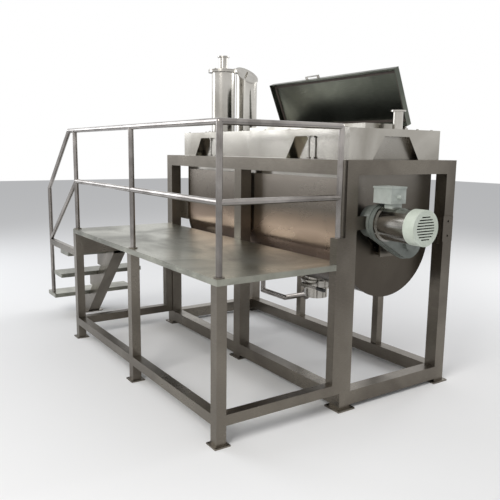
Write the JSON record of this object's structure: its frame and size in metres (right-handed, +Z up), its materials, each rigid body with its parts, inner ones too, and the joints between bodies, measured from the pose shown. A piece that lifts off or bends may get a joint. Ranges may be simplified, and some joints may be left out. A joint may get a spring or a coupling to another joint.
{
  "type": "ribbon blender",
  "caption": "Horizontal ribbon blender: jacketed trough with a double ribbon agitator in a square tube frame, geared motor, charging lid, and a railed work platform with a stair.",
  "frame": {"origin": "on the floor, under the middle of the machine with its platform and stair", "axes": "+X along the agitator shaft towards the motor, +Y from the platform towards the machine, +Z up"},
  "size_m": [4.02, 2.128, 2.66],
  "materials": {
    "frame_steel": "satin stainless tube",
    "polished_steel": "mirror-polished stainless sheet",
    "casing_steel": "polished stainless sheet",
    "bright_steel": "machined stainless",
    "lid_steel": "satin stainless sheet",
    "seal_rubber": "food-grade silicone",
    "packing": "braided fluoropolymer packing",
    "bearing_iron": "painted cast iron",
    "gearbox_paint": "painted cast housing",
    "motor_metal": "polished stainless casing",
    "cowl_paint": "pale green-grey paint",
    "fan_plastic": "moulded plastic",
    "box_plastic": "painted die-cast box",
    "grip_plastic": "moulded plastic",
    "pipe_steel": "stainless pipe",
    "deck_steel": "satin stainless plate"
  },
  "bodies": {
    "machine": {"bearing_housings": "bearing_iron", "bearing_inserts": "bright_steel", "bearing_plates": "frame_steel", "casing_ends": "casing_steel", "casing_sides": "casing_steel", "casing_tie_rods": "bright_steel", "charging_coaming": "casing_steel", "cover_bolts": "bright_steel", "deck_bearers": "frame_steel", "deck_plate": "deck_steel", "discharge_neck": "polished_steel", "discharge_spout": "polished_steel", "fan_cowl": "cowl_paint", "feed_stub": "polished_steel", "filter_housing": "polished_steel", "filter_lid": "bright_steel", "frame_bottom_beams": "frame_steel", "frame_plates": "frame_steel", "frame_posts": "frame_steel", "frame_top_beams": "frame_steel", "gearbox": "gearbox_paint", "gearbox_covers": "gearbox_paint", "handrail_middle": "pipe_steel", "handrail_posts": "pipe_steel", "handrail_top": "pipe_steel", "heating_jacket": "polished_steel", "jacket_pipe": "pipe_steel", "lid_hinge_brackets": "bright_steel", "motor_body": "motor_metal", "platform_braces": "frame_steel", "platform_legs": "frame_steel", "platform_plates": "frame_steel", "shaft_glands": "bright_steel", "shaft_packings": "packing", "stair_fascia": "frame_steel", "stair_stringer": "frame_steel", "stair_treads": "deck_steel", "terminal_box": "box_plastic", "terminal_box_lid": "box_plastic", "top_cover": "casing_steel", "trough_end_plates": "polished_steel", "trough_shell": "polished_steel", "trough_supports": "frame_steel", "valve_ring": "bright_steel", "vent_cover": "bright_steel", "vent_pipe": "polished_steel"},
    "agitator": {"agitator_shaft": "bright_steel", "outer_ribbons": "polished_steel", "inner_ribbons": "polished_steel", "ribbon_spokes": "polished_steel", "gearbox_sleeve": "bright_steel"},
    "fan_rotor": {"motor_shaft": "bright_steel", "motor_fan": "fan_plastic"},
    "lid": {"lid_panel": "lid_steel", "lid_gasket": "seal_rubber", "lid_handle": "bright_steel", "lid_hinge_leaves": "bright_steel"},
    "valve": {"valve_disc": "bright_steel", "valve_lever": "bright_steel", "valve_lever_grip": "grip_plastic"}
  },
  "joints": [
    {"name": "agitator_spin", "type": "hinge", "parent": "machine", "child": "agitator", "pos_m": [0.33, 0.4915, 1.165], "axis": [1, 0, 0], "continuous": true},
    {"name": "fan_spin", "type": "hinge", "parent": "machine", "child": "fan_rotor", "pos_m": [1.97, 0.244, 1.31], "axis": [1, 0, 0], "continuous": true},
    {"name": "lid_hinge", "type": "hinge", "parent": "machine", "child": "lid", "pos_m": [0.5675, 0.786, 1.972], "axis": [1, 0, 0], "range_deg": [-30, 67.5]},
    {"name": "discharge_valve", "type": "hinge", "parent": "machine", "child": "valve", "pos_m": [0.675, 0.4915, 0.683], "axis": [0, 1, 0], "range_deg": [0, 90]}
  ],
  "couplings": [
    {"joint": "fan_spin", "follows": "agitator_spin", "ratio": 36}
  ]
}
